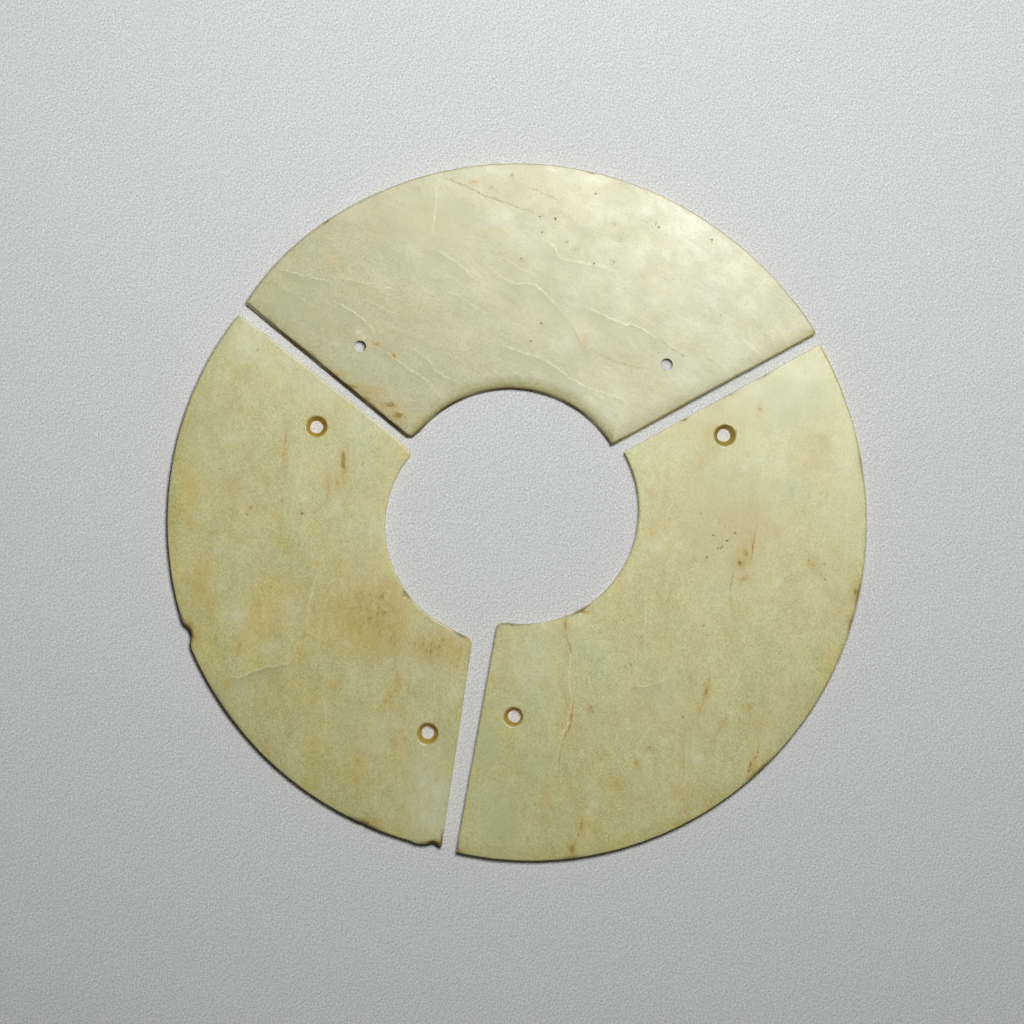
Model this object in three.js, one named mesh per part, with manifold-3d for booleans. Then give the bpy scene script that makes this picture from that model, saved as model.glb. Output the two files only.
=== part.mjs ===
// A jade bi disc made in three parts: three arc-shaped nephrite plates that lie
// end to end, with narrow gaps, around an open centre. Each plate has a lacing
// hole near each of its ends, drilled as a cone from one face.
//
// Millimetres, +Z up. The disc lies flat on Z = 0, and the middle of its outline
// is the origin.

import * as THREE from "three";
import { mergeVertices } from "three/addons/utils/BufferGeometryUtils.js";
import Module from "manifold-3d";

const wasm = await Module();
wasm.setup();

// Driving dimensions
const PLATE_THICKNESS = 4;
const EASED_EDGE = 0.4; // the worn edges between the faces and the sawn sides
const ARC_STEP = THREE.MathUtils.degToRad(2); // turn between two points of a round edge

// Lacing holes: the radius at the drilled face and at the face where the drill came out
const WIDE_MOUTH = 3.2;
const NARROW_MOUTH = 1.85;
const SMALL_NARROW_MOUTH = 1.7;
const HOLE_SIDES = 28;
const DRILL_OVERRUN = 1; // how far a cutter runs past each face

const JADE_ROUGHNESS = 0.42;

// Each plate's outline runs counter-clockwise from its start. A step with "via" is
// an arc through that point, and a step without it is a straight line. Short steps
// are blunted corners, and on the left plate an old notch and a worn corner.
const PLATES = [
  {
    name: "back_segment",
    color: "#cfcbb2",
    start: [89.1, 53.5],
    steps: [
      { to: [89.4, 54.5] },
      { via: [70.1, 77.1], to: [43.3, 94.9] },
      { via: [-3.7, 104.6], to: [-54.6, 89.1] },
      { via: [-70.0, 76.9], to: [-81.4, 62.6] },
      { to: [-81.3, 62.2] },
      { to: [-33.0, 22.4] },
      { to: [-31.3, 22.3] },
      { to: [-28.6, 24.7] },
      { via: [-2.0, 36.7], to: [27.9, 20.1] },
    ],
    holes: [
      { at: [-47.1, 49.7], top: SMALL_NARROW_MOUTH, under: WIDE_MOUTH },
      { at: [44.9, 44.3], top: SMALL_NARROW_MOUTH, under: WIDE_MOUTH },
    ],
  },
  {
    name: "left_segment",
    color: "#b9b489",
    start: [-83.6, 59.2],
    steps: [
      { via: [-102.9, 17.3], to: [-100.3, -33.2] },
      { to: [-98.2, -35.6] },
      { to: [-97.6, -37.1] },
      { to: [-98.0, -39.1] },
      { to: [-97.8, -40.9] },
      { to: [-96.2, -44.4] },
      { via: [-72.1, -76.7], to: [-32.1, -98.6] },
      { to: [-30.2, -99.5] },
      { to: [-27.6, -99.7] },
      { to: [-25.5, -99.3] },
      { to: [-23.8, -99.8] },
      { to: [-22.8, -100.5] },
      { to: [-13.7, -39.4] },
      { to: [-14.0, -38.2] },
      { to: [-14.9, -37.4] },
      { to: [-18.0, -36.0] },
      { to: [-20.8, -34.4] },
      { via: [-39.1, -9.9], to: [-32.2, 16.8] },
      { to: [-31.9, 17.5] },
      { to: [-32.2, 18.1] },
      { to: [-36.1, 22.0] },
      { to: [-40.9, 26.1] },
      { to: [-76.3, 54.0] },
      { to: [-80.7, 57.4] },
    ],
    holes: [
      { at: [-60.1, 25.8], top: WIDE_MOUTH, under: NARROW_MOUTH },
      { at: [-26.8, -66.5], top: WIDE_MOUTH, under: NARROW_MOUTH },
    ],
  },
  {
    name: "right_segment",
    color: "#bfba92",
    start: [-18.1, -102.1],
    steps: [
      { via: [66.3, -83.2], to: [104.6, -10.4] },
      { via: [102.6, 19.4], to: [91.7, 48.9] },
      { to: [90.6, 49.8] },
      { to: [32.3, 17.8] },
      { to: [32.3, 17.4] },
      { via: [28.1, -21.7], to: [-2.8, -33.2] },
      { to: [-4.9, -33.2] },
      { to: [-5.8, -34.0] },
    ],
    holes: [
      { at: [-1.1, -61.4], top: WIDE_MOUTH - 0.3, under: NARROW_MOUTH },
      { at: [62.4, 23.0], top: WIDE_MOUTH, under: NARROW_MOUTH },
    ],
  },
];

// The centre of the circle through three points.
function circleCentre(a, b, c) {
  const ab = b.clone().sub(a);
  const ac = c.clone().sub(a);
  const scale = 0.5 / (ab.x * ac.y - ab.y * ac.x);
  const x = (ac.y * ab.lengthSq() - ab.y * ac.lengthSq()) * scale;
  const y = (ab.x * ac.lengthSq() - ac.x * ab.lengthSq()) * scale;
  return a.clone().add(new THREE.Vector2(x, y));
}

// The turn from one point to another about a centre, between -PI and PI.
function turnBetween(centre, from, to) {
  const a = from.clone().sub(centre);
  const b = to.clone().sub(centre);
  return Math.atan2(a.x * b.y - a.y * b.x, a.dot(b));
}

// Points along the arc from "from" through "via" to "to", without the first point.
function arcPoints(from, via, to) {
  const centre = circleCentre(from, via, to);
  const turn = turnBetween(centre, from, via) + turnBetween(centre, via, to);
  const count = Math.max(1, Math.round(Math.abs(turn) / ARC_STEP));
  const points = [];
  for (let i = 1; i <= count; i += 1) {
    points.push(from.clone().rotateAround(centre, (turn * i) / count));
  }
  return points;
}

function outlinePoints({ start, steps }) {
  const points = [new THREE.Vector2(...start)];
  for (const { via, to } of steps) {
    const last = points[points.length - 1];
    const end = new THREE.Vector2(...to);
    if (via) {
      points.push(...arcPoints(last, new THREE.Vector2(...via), end));
    } else {
      points.push(end);
    }
  }
  return points;
}

// A flat plate of the outline's full size, with its edges eased on both faces.
function plateGeometry(plate) {
  const geometry = new THREE.ExtrudeGeometry(new THREE.Shape(outlinePoints(plate)), {
    depth: PLATE_THICKNESS - 2 * EASED_EDGE,
    bevelThickness: EASED_EDGE,
    bevelSize: EASED_EDGE,
    bevelOffset: -EASED_EDGE,
    bevelSegments: 1,
  });
  geometry.translate(0, 0, EASED_EDGE);
  return geometry;
}

// A cone that meets the top and the underside of a plate at the two mouth radii.
function drillGeometry({ at, top, under }) {
  const flare = ((top - under) / PLATE_THICKNESS) * DRILL_OVERRUN;
  const low = -DRILL_OVERRUN;
  const high = PLATE_THICKNESS + DRILL_OVERRUN;
  const profile = [
    new THREE.Vector2(0, low),
    new THREE.Vector2(under - flare, low),
    new THREE.Vector2(top + flare, high),
    new THREE.Vector2(0, high),
  ];
  const geometry = new THREE.LatheGeometry(profile, HOLE_SIDES);
  geometry.rotateX(Math.PI / 2);
  geometry.translate(at[0], at[1], 0);
  return geometry;
}

// A closed geometry as a solid that can be cut.
function toSolid(geometry) {
  geometry.deleteAttribute("normal");
  geometry.deleteAttribute("uv");
  const merged = mergeVertices(geometry, 1e-4);
  const corners = merged.index.array;
  const triangles = [];
  for (let i = 0; i < corners.length; i += 3) {
    const [a, b, c] = corners.slice(i, i + 3);
    if (a !== b && b !== c && c !== a) {
      triangles.push(a, b, c);
    }
  }
  const mesh = new wasm.Mesh({
    numProp: 3,
    vertProperties: merged.attributes.position.array,
    triVerts: new Uint32Array(triangles),
  });
  return new wasm.Manifold(mesh);
}

function toGeometry(solid) {
  const mesh = solid.getMesh();
  const geometry = new THREE.BufferGeometry();
  geometry.setAttribute("position", new THREE.BufferAttribute(mesh.vertProperties, 3));
  geometry.setIndex(new THREE.BufferAttribute(mesh.triVerts, 1));
  geometry.computeVertexNormals();
  return geometry;
}

function makePlate(plate) {
  const drilled = plate.holes.reduce(
    (solid, hole) => solid.subtract(toSolid(drillGeometry(hole))),
    toSolid(plateGeometry(plate)),
  );
  const material = new THREE.MeshStandardMaterial({
    color: plate.color,
    roughness: JADE_ROUGHNESS,
    metalness: 0,
  });
  const mesh = new THREE.Mesh(toGeometry(drilled), material);
  mesh.name = plate.name;
  return mesh;
}

const disc = new THREE.Group();
for (const plate of PLATES) {
  disc.add(makePlate(plate));
}

export default disc;
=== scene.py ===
"""A round jade disc made of three sawn plates, lying flat on pale paper.

Lengths are in metres. Places on a face are in millimetres and are turned into metres where they are used.
"""

from math import radians, sqrt, tau

import bmesh
import bpy
import numpy as np
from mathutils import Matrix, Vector, kdtree, noise


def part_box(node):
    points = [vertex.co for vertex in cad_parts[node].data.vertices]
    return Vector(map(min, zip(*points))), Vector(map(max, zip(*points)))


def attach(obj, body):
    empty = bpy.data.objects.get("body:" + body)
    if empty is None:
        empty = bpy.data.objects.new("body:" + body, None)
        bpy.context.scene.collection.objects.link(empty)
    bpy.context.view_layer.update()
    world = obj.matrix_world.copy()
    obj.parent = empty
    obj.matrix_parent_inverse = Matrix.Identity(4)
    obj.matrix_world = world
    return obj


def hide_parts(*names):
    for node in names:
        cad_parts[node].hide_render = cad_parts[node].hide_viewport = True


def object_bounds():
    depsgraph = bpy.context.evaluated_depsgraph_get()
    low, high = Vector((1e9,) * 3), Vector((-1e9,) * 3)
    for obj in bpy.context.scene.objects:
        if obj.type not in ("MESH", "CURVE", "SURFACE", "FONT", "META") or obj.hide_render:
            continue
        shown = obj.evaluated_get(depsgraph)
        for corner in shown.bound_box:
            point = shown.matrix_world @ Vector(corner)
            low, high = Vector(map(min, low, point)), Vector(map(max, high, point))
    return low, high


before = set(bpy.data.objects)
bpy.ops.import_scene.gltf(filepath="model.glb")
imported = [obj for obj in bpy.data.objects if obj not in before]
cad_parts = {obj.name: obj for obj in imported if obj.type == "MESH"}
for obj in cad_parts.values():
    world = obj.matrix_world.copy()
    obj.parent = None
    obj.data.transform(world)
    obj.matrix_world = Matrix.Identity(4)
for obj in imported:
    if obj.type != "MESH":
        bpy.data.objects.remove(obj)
CAD_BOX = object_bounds()

# ---------------------------------------------------------------- sizes

MM = 0.001
WELD = 0.000002                # points closer than this are one point
SKIN = 0.00001                 # how far the finished faces stay inside the solid's

FACE_CELL = 0.52 * MM          # mesh size on the upper faces
UNDER_CELL = 1.4 * MM          # and on the undersides
RING_STEP = 0.12 * MM          # spacing of points along an outline
RING_SOFTENING = 8             # smoothing passes along an outline
LET_OUT_SOFTENING = 4          # along what it is let out by
WEAR_SOFTENING = 12            # along the wear of its edges
DOME_SOFTENING = 40            # and along the dip of its faces

# Mesh lines in from an edge, in mm: closest where the upper edge rounds over, and wider beneath.
RIM_STEPS = (0, 0.04, 0.1, 0.18, 0.3, 0.45, 0.65, 0.9, 1.2, 1.6)
UNDER_STEPS = (0, 0.2, 0.5, 1.0)

DOME_REACH = 4.5 * MM          # the polished faces dip over this distance to the edges
ARRIS_REACH = 0.55 * MM        # and are eased at their very edges by ARRIS_DEPTH
ARRIS_DEPTH = 0.05 * MM
UNDER_ROUND = 0.25 * MM        # the radius worn on the lower edges
MOST_DROP = 0.8                # the share of the thickness that an upper face may drop by
LEAN_DEPTH = 1.8 * MM          # how far down a leaning wall still shows from above
LEAN_LEAST = 0.02 * MM         # a wall that leans by less than this stands upright
WEAR_LENGTH = 6 * MM           # the wear on an edge comes and goes over this length
EDGE_WANDER = 0.1 * MM         # how far an outline wavers, in long swings and short ones
LONG_SWING = 4.5 * MM
SHORT_SWING = 1.7 * MM
WAVE_DEPTH = 0.035 * MM        # hollows left by grinding, over WAVE_LENGTH
WAVE_LENGTH = 17 * MM
SHARP_ANGLE = radians(50)      # faces that meet at more than this keep their edge

# How far each hole's lower mouth lies aside from its upper one, in mm, from the leftmost hole on.
DRILL_LEANS = {
    "back_plate": ((0, 0), (0, 0)),
    "left_plate": ((-0.1, -0.15), (0, 0.3)),
    "right_plate": ((0.3, 0.1), (-0.4, 0)),
}
DRILL_STEPS = 56               # points round a drilled hole
WALL_BANDS = 9                 # bands that the drill's ridges part a hole's wall into
BAND_RINGS = 4                 # rings of points to each band
RIDGE_DEPTH = 0.04 * MM
WALL_UNEVEN = 0.03             # how uneven the wall is, as a share of the radius
DEEP_UNEVEN = 0.09             # and how much more so at its lower end
WALL_LUMP = 1.6 * MM
LIP_FLARE = 0.08 * MM          # the holes' worn upper lips open by this
LOWER_FLARE = 0.05 * MM        # and their lower ones by this
LIP_DEPTH = 0.28 * MM

# ---------------------------------------------------------------- the three plates

# For each plate: its CAD node, its finish, and its corners in mm, counter-clockwise from an inner one.
PLATES = {
    "back_plate": (
        "back_segment", "pale_jade",
        ((27.9, 20.1), (89.4, 54.5), (-81.4, 62.6), (-32.2, 22.3)),
    ),
    "left_plate": (
        "left_segment", "olive_jade",
        ((-31.9, 17.5), (-83.6, 59.2), (-22.8, -100.5), (-14, -38.2)),
    ),
    "right_plate": (
        "right_segment", "mottled_jade",
        ((-5.3, -33.6), (-18.1, -102.1), (91.3, 49.3), (32.3, 17.6)),
    ),
}

# For each plate's first cut, outer arc, second cut and inner arc, in mm: how far the upper face dips at
# the side's start and at its end, the radius that handling has worn on the edge, how far the wall leans,
# and how far the outline is let out.
EDGES = {
    "back_plate": (
        (0.1, 0.1, 0.45, 0, 0.25), (0.02, 0.02, 0.12, 0, 0), (0.08, 0.08, 0.2, 0.75, 0),
        (0.3, 0.3, 1.1, 0.3, 0),
    ),
    "left_plate": (
        (0, 0, 0.15, 0, 0), (0.12, 0.22, 0.2, 0, 0), (0, 0, 0.15, 0, 0.2), (0.02, 0.02, 0.16, 0, 0),
    ),
    "right_plate": (
        (0.02, 0.02, 0.16, 0, 0.2), (0.22, 0.02, 0.2, 0, 0), (0, 0, 0.14, 0, 0.38),
        (0.03, 0.03, 0.18, 0, 0),
    ),
}

# Chips broken from the upper edges: place in mm, half width, bite inwards and depth.
CHIPS = {
    "back_plate": (
        (22.4, 102.2, 1.2, 0.08, 0.05), (36.2, 97.8, 1.6, 0.05, 0.05), (40.8, 95.6, 1, 0.05, 0.05),
        (50.6, 89.7, 1, 0.05, 0.05),
    ),
    "left_plate": (
        (-98.3, -34.6, 1.6, 0.15, 0.4), (-46, -93.2, 1.6, 0.15, 0.35), (-25, -99.3, 1.2, 0.2, 0.5),
        (-33.4, -25.2, 0.8, 0.1, 0.05),
    ),
    "right_plate": (
        (100.8, -27, 1, 0.1, 0.05), (99.6, -33.5, 1.2, 0.1, 0.05), (49.8, 28.2, 0.8, 0.12, 0.08),
        (63.6, 35.4, 0.9, 0.12, 0.08), (73.8, 40.9, 0.8, 0.12, 0.08), (19.2, -29.9, 1, 0.15, 0.08),
    ),
}

# Pale veins: how strong, how far their veil shows, then points in mm from one end to the other.
VEINS = {
    "back_plate": (
        (0.8, 1.0, (-73.5, 73.5), (-64, 71), (-54.5, 69)),
        (0.7, 0.6, (-54.5, 72), (-51.5, 70), (-40.5, 68), (-34.5, 65.5)),
        (0.35, 0.3, (-44.5, 68.5), (-36, 64), (-27.5, 59)),
        (0.95, 0.6, (-56, 64), (-47, 58.5), (-42.5, 53.5)),
        (0.5, 0.4, (-72, 68.5), (-66, 65), (-59.5, 61)),
        (0.45, 0.35, (-46, 64), (-35.5, 59)),
        (0.85, 0.7, (-40.5, 49), (-33, 43.5), (-22.5, 36.5)),
        (0.8, 0.6, (-33, 50.5), (-26.5, 45.5), (-24.5, 42.5), (-14.5, 37)),
        (0.95, 0.9, (-10.5, 75), (-2, 69), (4, 68.5), (7.5, 66.5), (16, 57), (20, 50.5), (25.5, 46.5)),
        (0.5, 0.4, (-5.5, 77), (5, 71)),
        (0.7, 0.8, (-27.5, 80), (-19, 75.5), (-11, 68.5)),
        (0.4, 0.3, (-31, 69.5), (-23.5, 64)),
        (0.55, 0.4, (-22.5, 67), (-14.5, 63), (-7.5, 58)),
        (0.9, 0.9, (-5.5, 52), (-2.5, 49.5), (9.5, 45), (18.5, 38.5), (30, 34.5), (33, 32.5)),
        (0.45, 0.4, (-3, 43.5), (4, 39)),
        (0.4, 0.2, (-26.5, 39), (-21.5, 32.5)),
        (0.45, 0.4, (23, 34), (32.5, 28.5)),
        (1.0, 1.0, (19, 62.5), (25, 59.5), (32, 56.5), (35.5, 56), (50.5, 47)),
        (0.75, 0.7, (3, 84), (10.5, 80), (12.5, 77), (15.5, 75.5), (26.5, 73.5), (31, 71.5)),
        (0.5, 0.3, (23, 66.5), (28.5, 64)),
        (0.4, 0.2, (47, 60), (53.5, 56)),
        (0.5, 0.2, (67.5, 52), (74, 46.5)),
        (0.7, 0.15, (-24, 100), (-24.5, 91), (-25.5, 82.5)),
    ),
    "left_plate": (
        (0.55, 0.15, (-66.5, 42), (-67, 37.5), (-68.5, 35.5), (-69, 25)),
        (1.0, 0.2, (-59.5, -16.5), (-62, -25.5), (-63.5, -36.5)),
        (1.1, 0.7, (-86.5, -49.5), (-83, -49.5), (-77, -47), (-66, -45)),
        (0.7, 0.1, (-57.5, -56), (-57.5, -68)),
        (0.9, 0.1, (-39, -57.5), (-39, -63)),
        (0.45, 0.1, (-22, -58.5), (-22, -63.5)),
        (0.4, 0.1, (-42.5, -90.5), (-42.5, -85), (-39.5, -81.5)),
        (0.35, 0.1, (-55, -69), (-55, -73.5)),
        (0.4, 0.1, (-70, -14.5), (-71, -22)),
        (0.35, 0.1, (-76.5, -23.5), (-76.5, -34)),
    ),
    "right_plate": (
        (1.7, 0.25, (17, -40), (15.9, -44.5), (15.5, -50), (16.3, -55.5), (16.6, -59.5)),
        (1.1, 0.05, (15.2, -57), (15.3, -63), (13, -68.5), (12, -74)),
        (1.0, 0.5, (33, -52), (39.5, -52), (48.5, -49)),
        (0.5, 0.3, (32, -66), (40, -63.5)),
        (0.75, 0.2, (64.5, -53), (70, -44)),
        (0.7, 0.1, (72, -27.5), (70.5, -36)),
        (0.8, 0.15, (38.5, -23), (38.5, -32), (37.5, -36.5)),
        (0.4, 0.1, (45, -12.5), (44.5, -29)),
        (0.45, 0.1, (58, 19.5), (58, 16)),
        (0.35, 0.1, (9, -38.5), (8.5, -47)),
        (0.5, 0.15, (21, -88.5), (20.5, -91.5)),
        (0.3, 0.1, (61.5, 12.5), (61.5, 6)),
    ),
}

# Brown lines that iron has stained: how strong, then points in mm.
SEAMS = {
    "back_plate": (
        (0.3, (-25, 101.5), (-16, 98), (-8.5, 94.5), (10.5, 88)),
        (0.15, (0.5, 98.5), (10.5, 94.5), (13.5, 92)),
        (0.22, (7.5, 66.5), (16, 57), (20, 50.5), (30, 45), (42, 42.5)),
        (0.18, (56, 47), (62.5, 42)),
        (0.27, (41.5, 53), (47, 48.5), (52, 46.5)),
        (0.3, (-45, 52), (-36.5, 47)),
    ),
    "left_plate": (
        (0.45, (-69, 26), (-70.5, 12.5)),
        (0.3, (-75, 11), (-75, 6.5)),
        (0.55, (-63, -32), (-66, -48.5)),
        (0.4, (-56.5, 11), (-57.5, 3), (-64, -2.5)),
        (0.55, (-17.5, -38), (-16.5, -41), (-18, -45), (-18, -48.5)),
        (0.5, (-87, -50), (-87, -53)),
        (0.35, (-85.5, -50), (-66.5, -45.5)),
    ),
    "right_plate": (
        (0.8, (14.5, -30.5), (14.5, -36)),
        (0.6, (14.5, -35.5), (17, -44)),
        (0.85, (16.2, -53), (16.8, -58), (16.3, -62), (15, -66.3), (13.5, -69.5)),
        (0.7, (13.6, -68.5), (12.7, -73.6), (12.5, -79)),
        (0.6, (57.5, -46), (57.5, -51), (54, -62)),
        (0.65, (72, -3), (70, -15.5)),
        (0.5, (65.5, -17), (64, -22.5), (64.5, -30.5)),
        (1.0, (72.5, -68), (72, -73), (70, -75.5), (68.5, -81.5)),
        (0.8, (19.5, -91), (19, -95.5), (16, -102.5)),
        (0.4, (66, -51.5), (69.5, -45)),
        (0.35, (50, -68), (50, -80)),
        (0.4, (63.5, -60.5), (58.5, -69)),
        (0.4, (51, -87), (50.5, -91.5)),
    ),
}

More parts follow.
